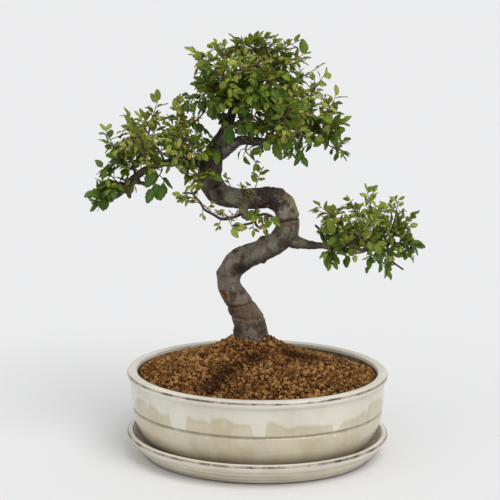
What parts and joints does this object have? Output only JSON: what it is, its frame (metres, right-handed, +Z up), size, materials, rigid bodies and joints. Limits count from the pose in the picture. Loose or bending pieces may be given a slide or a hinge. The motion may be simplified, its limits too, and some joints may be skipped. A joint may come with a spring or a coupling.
{
  "type": "chinese elm bonsai in an oval pot",
  "caption": "Bonsai elm with an S-shaped trunk and leafy pads, in granular soil in a low oval glazed pot on its matching saucer.",
  "frame": {"origin": "centre of the saucer's flat underside", "axes": "+Z up, +X along the pot's long axis to the right seen from the front, -Y towards the front"},
  "size_m": [0.2776, 0.1766, 0.3486],
  "materials": {
    "glaze": "glossy cream glaze with brown breaks at the edges",
    "drain_mesh": "matt",
    "soil": "rough baked clay granules",
    "bark": "smooth mottled grey-brown bark",
    "leaf": "thin leathery leaves with a slight sheen"
  },
  "bodies": {
    "root": {"saucer": "glaze", "pot": "glaze", "drain_mesh_left": "drain_mesh", "drain_mesh_right": "drain_mesh", "soil": "soil", "wood": "bark", "spray_apex": "leaf", "spray_crown_top_left": "leaf", "spray_crown_upper_left": "leaf", "spray_crown_shoulder_left": "leaf", "spray_crown_upper_right": "leaf", "spray_crown_front": "leaf", "spray_crown_front_left": "leaf", "spray_crown_left": "leaf", "spray_crown_left_front": "leaf", "spray_crown_left_up": "leaf", "spray_crown_low_front": "leaf", "spray_crown_back": "leaf", "spray_crown_back_left": "leaf", "spray_crown_right": "leaf", "spray_crown_front_mid": "leaf", "spray_crown_shoulder_right": "leaf", "spray_crown_hanging": "leaf", "spray_crown_back_right": "leaf", "spray_right_up": "leaf", "spray_right_up_side": "leaf", "spray_right_out": "leaf", "spray_right_tip": "leaf", "spray_right_end": "leaf", "spray_right_hanging": "leaf", "spray_right_front": "leaf", "spray_right_hook": "leaf", "spray_right_back": "leaf", "spray_left_up": "leaf", "spray_left_up_side": "leaf", "spray_left_near_up": "leaf", "spray_left_far_up": "leaf", "spray_left_far": "leaf", "spray_left_low": "leaf", "spray_left_end": "leaf", "spray_left_front": "leaf", "spray_left_hanging": "leaf", "spray_left_near_front": "leaf", "spray_left_back": "leaf", "spray_low_near": "leaf", "spray_low_mid": "leaf", "spray_low_far": "leaf", "spray_low_out": "leaf", "spray_low_out_side": "leaf", "spray_low_end": "leaf", "spray_low_hanging": "leaf", "spray_low_down": "leaf", "spray_low_front": "leaf", "spray_low_back": "leaf", "spray_trail_end": "leaf", "spray_trail_side": "leaf", "spray_loop_side": "leaf", "spray_trunk_front": "leaf", "spray_right_under": "leaf", "spray_trunk_left": "leaf"}
  },
  "joints": []
}
